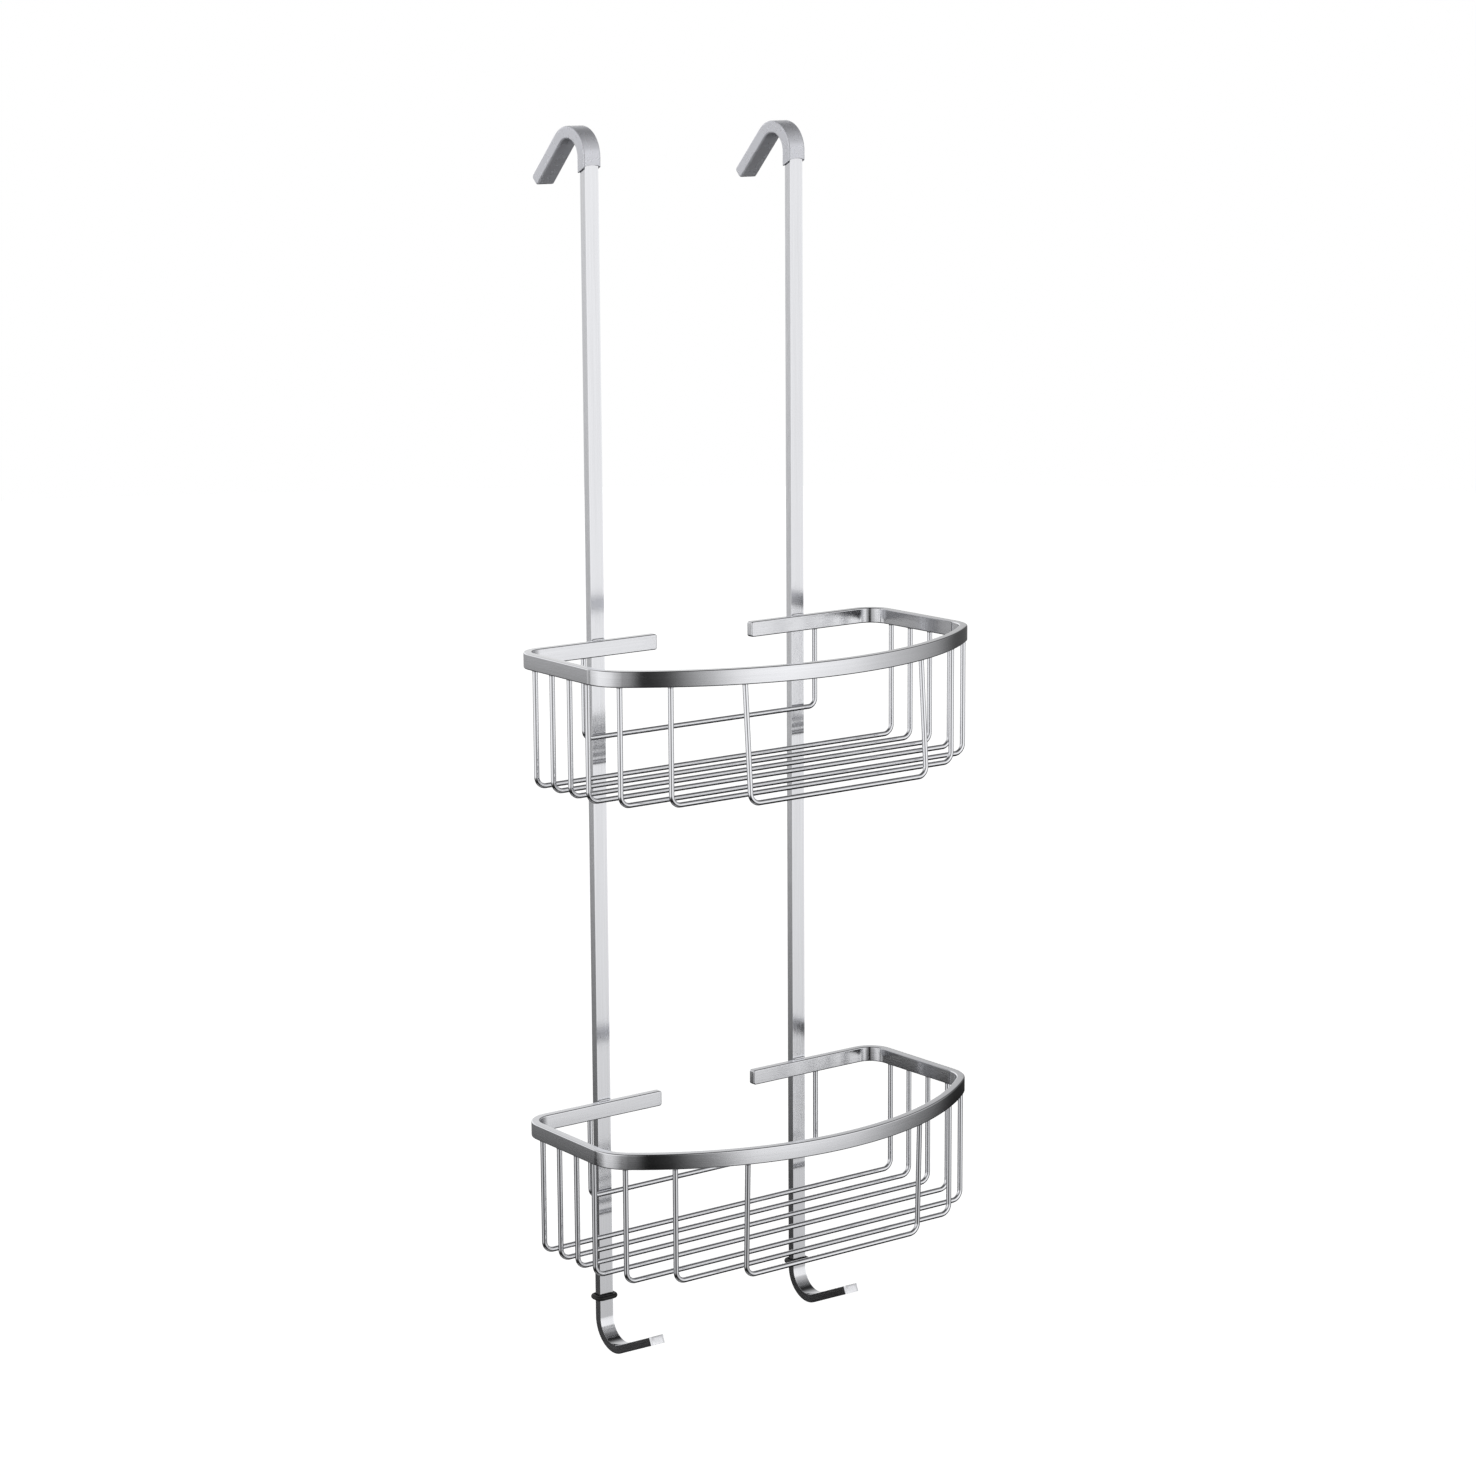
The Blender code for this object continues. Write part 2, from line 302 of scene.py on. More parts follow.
def draw_out(start, moves):
    """Carry the selected section along the moves."""
    place = Vector(start)
    for move in moves:
        if move[0] == "run":
            bpy.ops.mesh.extrude_region_move(TRANSFORM_OT_translate={"value": move[1]})
        elif move[0] == "bend":
            _, centre, axis, angle, steps = move
            # Spin turns the other way round the axis
            bpy.ops.mesh.spin(steps=steps, angle=-angle, center=centre, axis=axis)
        else:
            bpy.ops.transform.resize(value=(move[1],) * 3, center_override=place)
        place = centre_line(place, [move])[-1]


def select_only(piece, kind, wanted):
    """Select only the vertices, edges or faces that pass a test of their corners' places."""
    bpy.ops.object.mode_set(mode="EDIT")
    bpy.ops.mesh.select_mode(type=kind)
    bpy.ops.mesh.select_all(action="DESELECT")
    body = bmesh.from_edit_mesh(piece.data)
    for item in {"VERT": body.verts, "EDGE": body.edges, "FACE": body.faces}[kind]:
        corners = [item] if kind == "VERT" else item.verts
        item.select_set(wanted(*(corner.co for corner in corners)))
    bmesh.update_edit_mesh(piece.data)


def runs_along(a, b, axis):
    """Whether the line from a to b is parallel to the axis."""
    return abs((b - a).normalized().dot(axis)) > 0.999


def round_ends(piece, ends, axis, radius):
    """Round the corners of a bar's ends: the end edges that run along the axis."""
    near = BAR_WIDTH * 0.6

    def at_an_end(a, b):
        halfway = (a + b) / 2
        return runs_along(a, b, axis) and min((halfway - end).length for end in ends) < near
    select_only(piece, "EDGE", at_an_end)
    bpy.ops.mesh.bevel(offset=radius, segments=5, affect="EDGES")


def apply_modifier(piece, name, kind, **settings):
    """Add a modifier with these settings and apply it."""
    clear_selection()
    piece.select_set(True)
    bpy.context.view_layer.objects.active = piece
    modifier = piece.modifiers.new(name, kind)
    for key, value in settings.items():
        setattr(modifier, key, value)
    bpy.ops.object.modifier_apply(modifier=name)


def ease_edges(piece, width, segments):
    """Soften every edge that is sharper than a bend's facets."""
    apply_modifier(piece, "eased_edges", "BEVEL", width=width, segments=segments, limit_method="ANGLE",
                   angle_limit=math.radians(50))


def smooth(piece):
    """Shade the bends smooth, and keep broad faces and straight runs true."""
    clear_selection()
    piece.select_set(True)
    bpy.context.view_layer.objects.active = piece
    bpy.ops.object.shade_smooth_by_angle(angle=math.radians(42))
    apply_modifier(piece, "true_faces", "WEIGHTED_NORMAL", keep_sharp=True)


def mark_grain(piece, line, across):
    """Store where each vertex lay in the bar before it was bent: along, across its width, and through it."""
    points = np.array([tuple(point) for point in line])
    starts = points[:-1]
    steps = points[1:] - starts
    lengths = np.linalg.norm(steps, axis=1)
    before = np.concatenate(([0.0], np.cumsum(lengths)))[:-1]
    corners = np.array([tuple(corner.co) for corner in piece.data.vertices])
    away = corners[:, None, :] - starts[None]
    share = np.clip((away * steps).sum(axis=2) / lengths ** 2, 0.0, 1.0)
    aside = away - share[:, :, None] * steps
    nearest = np.argmin(np.linalg.norm(aside, axis=2), axis=1)
    rows = np.arange(len(corners))
    aside = aside[rows, nearest]
    axis = np.array(tuple(across))
    through = np.cross(steps[nearest] / lengths[nearest][:, None], axis)
    place = np.stack([before[nearest] + share[rows, nearest] * lengths[nearest],
                      aside @ axis, (aside * through).sum(axis=1)], axis=1)
    grain = piece.data.attributes.new("bar_place", "FLOAT_VECTOR", "POINT")
    grain.data.foreach_set("vector", place.astype(np.float32).ravel())


def dress(piece, material, slot, body, *nodes):
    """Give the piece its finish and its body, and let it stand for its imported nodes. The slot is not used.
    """
    clear_selection()
    piece.data.materials.clear()
    piece.data.materials.append(material)
    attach(piece, body)
    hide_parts(*nodes)


def copy_beside(piece, name, offset):
    """A copy with its own mesh, moved by the offset."""
    clear_selection()
    piece.select_set(True)
    bpy.context.view_layer.objects.active = piece
    bpy.ops.object.duplicate()
    copy = bpy.context.object
    copy.name = name
    copy.data.name = name
    bpy.ops.transform.translate(value=offset)
    bpy.ops.object.transform_apply(location=True, rotation=False, scale=False)
    return copy


def join_into(piece, parts):
    """Join the parts into the piece."""
    clear_selection()
    for part in parts:
        part.select_set(True)
    piece.select_set(True)
    bpy.context.view_layer.objects.active = piece
    bpy.ops.object.join()


def weld_bead(name, place, length, radius):
    """A short bead of weld lying along X: a rod whose ends are drawn in."""
    clear_selection()
    bpy.ops.mesh.primitive_cylinder_add(vertices=12, radius=radius, depth=length, location=place,
                                        rotation=(0.0, QUARTER, 0.0))
    bead = open_section(name)
    select_only(bead, "EDGE", lambda a, b: abs(a.x - b.x) < radius * 0.1)
    bpy.ops.mesh.bevel(offset=radius * 0.6, segments=3, affect="EDGES")
    clear_selection()
    return bead


# Paths

def front_of_uprights(bars):
    """Y of the uprights' front faces."""
    return -bars.hook_radius - bars.thickness


def hook_centre(bars, x):
    """The centre of a top hook's bend."""
    return Vector((x, 0.0, SLEEVE_TOP - SLEEVE_HALF_SPARE - bars.hook_radius - bars.thickness))


def hook_start(bars, x, spare):
    """The leg's tip, moved the spare length past the bar's own tip, and the way from there up the leg."""
    lean = bars.hook_angle
    outward = Vector((0.0, math.cos(lean), math.sin(lean)))
    up_the_leg = Vector((0.0, -math.sin(lean), math.cos(lean)))
    top = hook_centre(bars, x) + outward * (bars.hook_radius + bars.thickness / 2)
    return top - up_the_leg * (bars.hook_leg + spare), up_the_leg


def upright_path(bars, x):
    """An upright's path from the tip of its top hook to the tip of its bottom hook."""
    start, up_the_leg = hook_start(bars, x, 0.0)
    top = hook_centre(bars, x)
    foot = Vector((x, front_of_uprights(bars) - bars.foot_radius, RIM_TOP["lower"] - bars.foot_drop))
    along_run = Vector((0.0, -math.cos(bars.foot_rise), math.sin(bars.foot_rise)))
    moves = [
        run(up_the_leg * bars.hook_leg),
        bend(top, X_AXIS, math.pi - bars.hook_angle, 28),
        run((0.0, 0.0, foot.z - top.z)),
        bend(foot, X_AXIS, -QUARTER - bars.foot_rise, 28),
        run(along_run * bars.foot_run),
    ]
    return start, moves


def rim_corners(baskets):
    """Centres and angles of a rim's right-hand bends in plan, with the rim's rear face on Y = 0."""
    side_way = Vector((math.sin(baskets.flare), -math.cos(baskets.flare)))
    inward = Vector((-math.cos(baskets.flare), -math.sin(baskets.flare)))
    on_side = Vector((baskets.half_width, 0.0))
    from_side = on_side + inward * baskets.rear_radius
    rear = from_side + side_way * ((-baskets.rear_radius - from_side.y) / side_way.y)
    bow = Vector((0.0, baskets.front_radius - baskets.depth))
    start = on_side + inward * baskets.corner_radius - bow
    half_b = start.dot(side_way)
    rest = start.dot(start) - (baskets.front_radius - baskets.corner_radius) ** 2
    corner = bow + start + side_way * (math.sqrt(half_b * half_b - rest) - half_b)
    corner_end = math.atan2((corner - bow).y, (corner - bow).x)
    return rear, corner, bow, corner_end, (corner - rear).dot(side_way), side_way


def rim_path(bars, baskets, tier):
    """A rim's path from its right free end, round the front, to its left free end."""
    rear, corner, bow, corner_end, side_length, side_way = rim_corners(baskets)
    flare = baskets.flare
    z = RIM_TOP[tier] - BAR_WIDTH / 2

    def at(plan, mirror=1):
        return Vector((mirror * plan.x, RIM_REAR_Y + plan.y, z))

    start = Vector((baskets.free_end, RIM_REAR_Y - bars.thickness / 2, z))
    straight = rear.x - baskets.free_end
    moves = [
        run((straight, 0.0, 0.0)),
        bend(at(rear), Z_AXIS, flare - QUARTER, 16),
        run((side_way.x * side_length, side_way.y * side_length, 0.0)),
        bend(at(corner), Z_AXIS, corner_end - flare, 18),
        bend(at(bow), Z_AXIS, -math.pi - 2 * corner_end, 64),
        bend(at(corner, -1), Z_AXIS, corner_end - flare, 18),
        run((side_way.x * side_length, -side_way.y * side_length, 0.0)),
        bend(at(rear, -1), Z_AXIS, flare - QUARTER, 16),
        run((straight, 0.0, 0.0)),
    ]
    return start, moves


def rim_half_width_at(bars, baskets, depth):
    """Half the width of the rim's middle line at a depth in front of its rear face."""
    start, moves = rim_path(bars, baskets, "upper")
    line = centre_line(start, moves)
    for a, b in zip(line, line[1:]):
        far, near = RIM_REAR_Y - b.y, RIM_REAR_Y - a.y
        if a.x > baskets.free_end and near <= depth <= far and far > near:
            return a.x + (b.x - a.x) * (depth - near) / (far - near)
    raise ValueError("the rim has no side at that depth")


def u_path(half_width, y, top, bottom, radius, lean):
    """A wire's path down, across and up again, swollen into its welds at both ends."""
    length = math.hypot(top - bottom, lean)
    down = Vector((0.0, -lean, bottom - top)) / length
    facing = down.cross(X_AXIS)
    start = Vector((half_width, y, top))
    leg = length - radius
    right = start + down * leg - X_AXIS * radius
    left = Vector((-right.x, right.y, right.z))
    half_flare = WELD_FLARE / 2
    moves = [
        run(down * half_flare), swell(FIRST_SHRINK), run(down * half_flare), swell(SECOND_SHRINK),
        run(down * (leg - WELD_FLARE)),
        bend(right, facing, -QUARTER, 10),
        run(X_AXIS * (-2 * (half_width - radius))),
        bend(left, facing, -QUARTER, 10),
        run(-down * (leg - WELD_FLARE)),
        swell(1 / SECOND_SHRINK), run(-down * half_flare), swell(1 / FIRST_SHRINK), run(-down * half_flare),
    ]
    return start, moves, facing


# Shader node groups and finishes

# Sockets of a Mix node, by number because its kinds share their names
MIX_VALUES = (2, 3)
MIX_COLOURS = (6, 7)
MIXED_COLOUR = 2


def new_group(name, inputs, outputs):
    """An empty shader group with number inputs and outputs."""
    group = bpy.data.node_groups.new(name, "ShaderNodeTree")
    for label, default in inputs:
        socket = group.interface.new_socket(label, in_out="INPUT", socket_type="NodeSocketFloat")
        socket.default_value = default
    for label in outputs:
        group.interface.new_socket(label, in_out="OUTPUT", socket_type="NodeSocketFloat")
    return group, group.nodes.new("NodeGroupInput"), group.nodes.new("NodeGroupOutput")


def add_node(tree, kind, links=(), **settings):
    """Add a node, set it up, and link its inputs by name or number."""
    node = tree.nodes.new(kind)
    for key, value in settings.items():
        setattr(node, key, value)
    for socket, source in dict(links).items():
        if isinstance(source, bpy.types.NodeSocket):
            tree.links.new(source, node.inputs[socket])
        else:
            node.inputs[socket].default_value = source
    return node


def maths(tree, operation, *values):
    """A Math node's output."""
    return add_node(tree, "ShaderNodeMath", dict(enumerate(values)), operation=operation).outputs[0]


def spread(tree, value, low, high, to_low, to_high):
    """A value carried from one range to another and held inside it."""
    links = {"Value": value, "From Min": low, "From Max": high, "To Min": to_low, "To Max": to_high}
    return add_node(tree, "ShaderNodeMapRange", links).outputs["Result"]


def place_in_bar(group):
    """Where a point lay in the straight bar: X along it, Y across its width, Z through it."""
    place = add_node(group, "ShaderNodeAttribute", attribute_name="bar_place")
    return add_node(group, "ShaderNodeSeparateXYZ", {0: place.outputs["Vector"]}).outputs


def noise_in_piece(group, given, **settings):
    """Noise of the group's Size, fixed to the piece."""
    place = add_node(group, "ShaderNodeTexCoord").outputs["Object"]
    scale = maths(group, "DIVIDE", 1.0, given.outputs["Size"])
    return add_node(group, "ShaderNodeTexNoise", {"Vector": place, "Scale": scale, **settings}).outputs["Fac"]


def grain_group():
    """Drawing and polishing lines that follow the bar through its bends."""
    group, given, result = new_group(
        "drawn_grain", (("Length", 0.02), ("Width", 0.0003)), ("Fine", "Broad"))
    place = place_in_bar(group)
    for label, longer, wider in (("Fine", 1.0, 1.0), ("Broad", 4.0, 5.0)):
        length = maths(group, "MULTIPLY", given.outputs["Length"], longer)
        along = maths(group, "DIVIDE", place["X"], length)
        width = maths(group, "MULTIPLY", given.outputs["Width"], wider)
        across = maths(group, "DIVIDE", place["Y"], width)
        through = maths(group, "DIVIDE", place["Z"], width)
        spot = add_node(group, "ShaderNodeCombineXYZ", {"X": along, "Y": across, "Z": through})
        noise = add_node(group, "ShaderNodeTexNoise", {"Vector": spot.outputs[0], "Scale": 1.0, "Detail": 3.0,
                                                       "Roughness": 0.65})
        group.links.new(spread(group, noise.outputs["Fac"], 0.3, 0.7, 0.0, 1.0), result.inputs[label])
    return group


def edge_highlight_group():
    """A mask along a bar's long edges, where a painted highlight is laid on the steel."""
    group, given, result = new_group(
        "painted_edge_highlight", (("Half Width", 0.0048), ("Half Thickness", 0.0026), ("Reach", 0.0009)), ("Edge",))
    place = place_in_bar(group)
    gaps = []
    for label, half in (("Y", "Half Width"), ("Z", "Half Thickness")):
        gap = maths(group, "SUBTRACT", given.outputs[half], maths(group, "ABSOLUTE", place[label]))
        gaps.append(maths(group, "MULTIPLY", gap, gap))
    distance = maths(group, "SQRT", maths(group, "ADD", *gaps))
    near = maths(group, "SUBTRACT", 1.0, maths(group, "DIVIDE", distance, given.outputs["Reach"]))
    group.links.new(spread(group, near, 0.0, 1.0, 0.0, 1.0), result.inputs["Edge"])
    return group


def film_group():
    """Soft uneven film left by water and hands."""
    group, given, result = new_group("water_film", (("Size", 0.03),), ("Film",))
    noise = noise_in_piece(group, given, Detail=4.0, Roughness=0.6, Distortion=0.4)
    group.links.new(spread(group, noise, 0.35, 0.7, 0.0, 1.0), result.inputs["Film"])
    return group


def pebble_group():
    """The fine even texture of a moulded surface."""
    group, given, result = new_group("moulded_texture", (("Size", 0.0004),), ("Height",))
    group.links.new(noise_in_piece(group, given, Detail=2.0, Roughness=0.5), result.inputs["Height"])
    return group


def shared_group(name):
    """One of the shared effects, built the first time that it is asked for."""
    builders = {"drawn_grain": grain_group, "painted_edge_highlight": edge_highlight_group, "water_film": film_group,
                "moulded_texture": pebble_group}
    return bpy.data.node_groups.get(name) or builders[name]()


def use_group(tree, name, **values):
    """Place a shared effect in a material with its own values."""
    node = add_node(tree, "ShaderNodeGroup", node_tree=shared_group(name))
    for label, value in values.items():
        node.inputs[label].default_value = value
    return node


def blend_colour(tree, factor, *colours):
    """A colour between two, by a mask."""
    links = {"Factor": factor}
    for index, colour in zip(MIX_COLOURS, colours):
        links[index] = colour if isinstance(colour, bpy.types.NodeSocket) else (*colour, 1.0)
    return add_node(tree, "ShaderNodeMix", links, data_type="RGBA").outputs[MIXED_COLOUR]


def new_finish(name):
    """A material and its Principled shader."""
    material = bpy.data.materials.new(name)
    material.use_nodes = True
    return material, material.node_tree, material.node_tree.nodes["Principled BSDF"]


def bump(tree, shader, height, strength, distance):
    """Feed the shader's normal from a height."""
    node = add_node(tree, "ShaderNodeBump", {"Strength": strength, "Distance": distance, "Height": height})
    tree.links.new(node.outputs["Normal"], shader.inputs["Normal"])


def shade(colour, amount):
    """A colour made lighter or darker."""
    return tuple(min(1.0, part * amount) for part in colour)


def steel_finish(name, colour, roughness, length, width, relief, edges):
    """Satin steel with a fine grain along the bar or wire, and, with edges, a painted highlight along the
    bar's long edges.
    """
    found = bpy.data.materials.get(name)
    if found:
        return found
    material, tree, shader = new_finish(name)
    grain = use_group(tree, "drawn_grain", Length=length, Width=width)
    film = use_group(tree, "water_film", Size=0.035)
    tone = blend_colour(tree, grain.outputs["Broad"], shade(colour, 0.96), shade(colour, 1.03))
    rough = spread(tree, grain.outputs["Fine"], 0.0, 1.0, roughness, roughness * 1.6)
    rough = maths(tree, "ADD", rough, maths(tree, "MULTIPLY", film.outputs["Film"], roughness * 0.4))
    # Painted highlight: the long edges are coloured lighter, and are also made less rough.
    if edges:
        highlight_mask = use_group(tree, "painted_edge_highlight").outputs["Edge"]
        tone = blend_colour(tree, highlight_mask, tone, shade(colour, 1.1))
        rough = maths(tree, "SUBTRACT", rough, maths(tree, "MULTIPLY", highlight_mask, roughness * 0.3))
    tree.links.new(tone, shader.inputs["Base Color"])
    tree.links.new(rough, shader.inputs["Roughness"])
    shader.inputs["Metallic"].default_value = 1.0
    bump(tree, shader, grain.outputs["Fine"], strength=relief, distance=0.00004)
    return material


def bar_steel(finishes):
    """The finish of the flat bars, with a painted highlight along their long edges."""
    return steel_finish("satin_steel_bar", finishes.steel_colour, finishes.steel_roughness,
                        length=0.022, width=0.00022, relief=0.2, edges=True)


def wire_steel(finishes):
    """The finish of the round wires: smoother than the bars, and coloured lighter as a painted highlight."""
    # Painted highlight: the wires' steel is coloured 7% lighter so that their reflections come out brighter.
    lighter = shade(finishes.steel_colour, 1.07)
    return steel_finish("satin_steel_wire", lighter, finishes.steel_roughness * 0.5,
                        length=0.03, width=0.0004, relief=0.03, edges=False)


def sleeve_plastic(finishes):
    """Soft silvery vinyl with a fine moulded texture."""
    material, tree, shader = new_finish("soft_sleeve_plastic")
    texture = use_group(tree, "moulded_texture", Size=0.0004)
    film = use_group(tree, "water_film", Size=0.012)
    tone = blend_colour(tree, film.outputs["Film"], shade(finishes.sleeve_colour, 0.95),
                        finishes.sleeve_colour)
    tree.links.new(tone, shader.inputs["Base Color"])
    tree.links.new(spread(tree, film.outputs["Film"], 0.0, 1.0, 0.24, 0.32), shader.inputs["Roughness"])
    shader.inputs["Metallic"].default_value = 0.4
    bump(tree, shader, texture.outputs["Height"], strength=0.02, distance=0.00005)
    return material


def ring_rubber(finishes):
    """Matt black rubber with a bloom on it."""
    material, tree, shader = new_finish("black_ring_rubber")
    texture = use_group(tree, "moulded_texture", Size=0.0003)
    film = use_group(tree, "water_film", Size=0.004)
    tone = blend_colour(tree, film.outputs["Film"], finishes.ring_colour, shade(finishes.ring_colour, 1.8))
    tree.links.new(tone, shader.inputs["Base Color"])
    tree.links.new(spread(tree, film.outputs["Film"], 0.0, 1.0, 0.42, 0.6), shader.inputs["Roughness"])
    bump(tree, shader, texture.outputs["Height"], strength=0.2, distance=0.00005)
    return material


# Operators

class CADDY_OT_uprights(bpy.types.Operator):
    """Draw the left upright from flat bar and copy it to the right"""
    bl_idname = "caddy.uprights"
    bl_label = "Uprights"

    def execute(self, context):
        bars = context.scene.caddy_bars
        x = UPRIGHT_X["left"]
        start, moves = upright_path(bars, x)
        left = flat_section("left_upright_bar", start, (bars.hook_angle, 0.0, 0.0), BAR_WIDTH, bars.thickness)
        draw_out(start, moves)
        line = centre_line(start, moves)
        foot_through = Vector((0.0, math.sin(bars.foot_rise), math.cos(bars.foot_rise)))
        foot_tip = line[-1]
        round_ends(left, [foot_tip], foot_through, bars.end_round)
        along_run = (foot_tip - line[-2]).normalized()
        select_only(left, "EDGE",
                    lambda *ends: min((end - foot_tip).dot(along_run) for end in ends) > -SLACK)
        bpy.ops.mesh.bevel(offset=bars.end_round, segments=4, affect="EDGES")
        ease_edges(left, bars.edge, 3)
        mark_grain(left, line, X_AXIS)
        smooth(left)
        right = copy_beside(left, "right_upright_bar", (UPRIGHT_X["right"] - x, 0.0, 0.0))
        steel = bar_steel(context.scene.caddy_finishes)
        for side, piece in zip(SIDES, (left, right)):
            dress(piece, steel, "steel", "root", side + "_upright")
        return {"FINISHED"}


class CADDY_OT_hook_sleeves(bpy.types.Operator):
    """Mould the left hook sleeve and copy it to the right"""
    bl_idname = "caddy.hook_sleeves"
    bl_label = "Hook Sleeves"

    def execute(self, context):
        bars = context.scene.caddy_bars
        sleeves = context.scene.caddy_sleeves
        x = UPRIGHT_X["left"]
        top = hook_centre(bars, x)
        start, up_the_leg = hook_start(bars, x, sleeves.end)
        width = BAR_WIDTH + 2 * SLEEVE_HALF_SPARE
        thickness = bars.thickness + 2 * SLEEVE_HALF_SPARE
        overrun = 2 * (sleeves.reach + sleeves.mouth_drop)
        moves = [
            run(up_the_leg * (bars.hook_leg + sleeves.end)),
            bend(top, X_AXIS, math.pi - bars.hook_angle, 28),
            run((0.0, 0.0, -overrun)),
        ]
        left = flat_section("left_soft_sleeve", start, (bars.hook_angle, 0.0, 0.0), width, thickness)
        draw_out(start, moves)
        self.shape_tip(left, start, sleeves)
        self.cut_mouth(left, top, bars, sleeves, width)
        ease_edges(left, sleeves.edge, 4)
        apply_modifier(left, "wall", "SOLIDIFY", thickness=sleeves.wall, offset=-1.0, use_even_offset=True)
        ease_edges(left, sleeves.wall * 0.25, 2)
        smooth(left)
        right = copy_beside(left, "right_soft_sleeve", (UPRIGHT_X["right"] - x, 0.0, 0.0))
        plastic = sleeve_plastic(context.scene.caddy_finishes)
        for side, piece in zip(SIDES, (left, right)):
            dress(piece, plastic, "sleeve", "root", side + "_hook_sleeve")
        return {"FINISHED"}

    @staticmethod
    def shape_tip(piece, tip, sleeves):
        """Round the closed tip, then cut the broad faces into strips."""
        near = BAR_WIDTH / 2
        select_only(piece, "EDGE",
                    lambda a, b: runs_along(a, b, X_AXIS) and ((a + b) / 2 - tip).length < near)
        bpy.ops.mesh.bevel(offset=sleeves.tip_round, segments=5, affect="EDGES")
        select_only(piece, "EDGE", lambda a, b: runs_along(a, b, X_AXIS))
        bpy.ops.mesh.subdivide(number_cuts=SLEEVE_STRIPS - 1)

    @staticmethod
    def cut_mouth(piece, top, bars, sleeves, width):
        """Cut the mouth on its slope and raise the middle of its edge into an arch."""
        front = Vector((top.x, -bars.hook_radius - bars.thickness - SLEEVE_HALF_SPARE, top.z - sleeves.reach))
        rear = Vector((top.x, -bars.hook_radius + SLEEVE_HALF_SPARE, front.z - sleeves.mouth_drop))
        slope = rear - front
        upward = Vector((0.0, -slope.z, slope.y)).normalized()
        bpy.ops.mesh.select_all(action="SELECT")
        bpy.ops.mesh.bisect(plane_co=front, plane_no=upward, use_fill=False, clear_inner=True)
        for line in range(1, SLEEVE_STRIPS):
            x = top.x + width * (line / SLEEVE_STRIPS - 0.5)
            share = 1.0 - (2.0 * line / SLEEVE_STRIPS - 1.0) ** 2
            select_only(piece, "VERT", lambda place: abs(place.x - x) < width * 0.02
                        and abs((place - front).dot(upward)) < sleeves.wall * 0.1)
            bpy.ops.transform.translate(value=(0.0, 0.0, sleeves.mouth_arch * share))


class CADDY_OT_bumper_rings(bpy.types.Operator):
    """Form the rubber rings round the uprights"""
    bl_idname = "caddy.bumper_rings"
    bl_label = "Bumper Rings"

    def execute(self, context):
        bars = context.scene.caddy_bars
        rings = context.scene.caddy_rings
        centre = middle_of("left_bumper_ring")
        reach = rings.fit + rings.section
        corner_x = BAR_WIDTH / 2 - rings.bend
        corner_y = bars.thickness / 2 - rings.bend
        start = centre + Vector((BAR_WIDTH / 2 + reach, -corner_y, 0.0))
        moves = []
        quarters = ((1, 1, Y_AXIS * 2 * corner_y), (-1, 1, X_AXIS * -2 * corner_x),
                    (-1, -1, Y_AXIS * -2 * corner_y), (1, -1, X_AXIS * 2 * corner_x))
        for sign_x, sign_y, straight in quarters:
            corner = centre + Vector((sign_x * corner_x, sign_y * corner_y, 0.0))
            moves += [run(straight), bend(corner, Z_AXIS, QUARTER, 8)]
        left = round_section("left_rubber_ring", start, (QUARTER, 0.0, 0.0), rings.section, 18)
        draw_out(start, moves)
        select_only(left, "FACE", lambda *corners: len(corners) > 4)
        bpy.ops.mesh.delete(type="ONLY_FACE")
        bpy.ops.mesh.select_all(action="SELECT")
        bpy.ops.mesh.remove_doubles(threshold=rings.section * 0.02)
        bpy.ops.mesh.normals_make_consistent(inside=False)
        smooth(left)
        right = copy_beside(left, "right_rubber_ring", middle_of("right_bumper_ring") - centre)
        rubber = ring_rubber(context.scene.caddy_finishes)
        for side, piece in zip(SIDES, (left, right)):
            dress(piece, rubber, "ring", side + "_ring", side + "_bumper_ring")
        return {"FINISHED"}


class CADDY_OT_rims(bpy.types.Operator):
    """Bend the upper rim from flat bar, weld it to the uprights, and copy it for the lower basket"""
    bl_idname = "caddy.rims"
    bl_label = "Basket Rims"

    def execute(self, context):
        bars = context.scene.caddy_bars
        baskets = context.scene.caddy_baskets
        start, moves = rim_path(bars, baskets, "upper")
        upper = flat_section("upper_rim_bar", start, (QUARTER, 0.0, QUARTER), bars.thickness, BAR_WIDTH)
        draw_out(start, moves)
        line = centre_line(start, moves)
        round_ends(upper, [line[0], line[-1]], Y_AXIS, bars.end_round)
        ease_edges(upper, bars.edge, 3)
        bead_radius = 0.0008
        bead_length = BAR_WIDTH * 0.82
        bead_y = front_of_uprights(bars) - bead_radius * 0.3
        beads = []
        for side in SIDES:
            for z in (RIM_TOP["upper"], RIM_TOP["upper"] - BAR_WIDTH):
                beads.append(weld_bead("bead", (UPRIGHT_X[side], bead_y, z), bead_length, bead_radius))
        join_into(upper, beads)
        mark_grain(upper, line, Z_AXIS)
        smooth(upper)
        lower = copy_beside(upper, "lower_rim_bar", (0.0, 0.0, RIM_TOP["lower"] - RIM_TOP["upper"]))
        steel = bar_steel(context.scene.caddy_finishes)
        for tier, piece in zip(TIERS, (upper, lower)):
            dress(piece, steel, "steel", "root", tier + "_rim")
        return {"FINISHED"}


def bend_wire(context, name, half_width, y, tier, drop, radius, lean=0.0):
    """One U-shaped wire, drawn from under the rim and back up to it."""
    baskets = context.scene.caddy_baskets
    into_weld = 0.0002
    top = RIM_TOP[tier] - BAR_WIDTH + into_weld
    start, moves, facing = u_path(half_width, y, top, RIM_TOP[tier] - drop, radius, lean)
    tilt = math.atan2(facing.z, facing.y)
    weld_radius = baskets.wire_radius / (FIRST_SHRINK * SECOND_SHRINK)
    piece = round_section(name, start, (tilt, 0.0, 0.0), weld_radius, 16)
    draw_out(start, moves)
    bpy.ops.mesh.select_all(action="SELECT")
    bpy.ops.mesh.normals_make_consistent(inside=False)
    clear_selection()
    mark_grain(piece, centre_line(start, moves), facing)
    smooth(piece)
    return piece


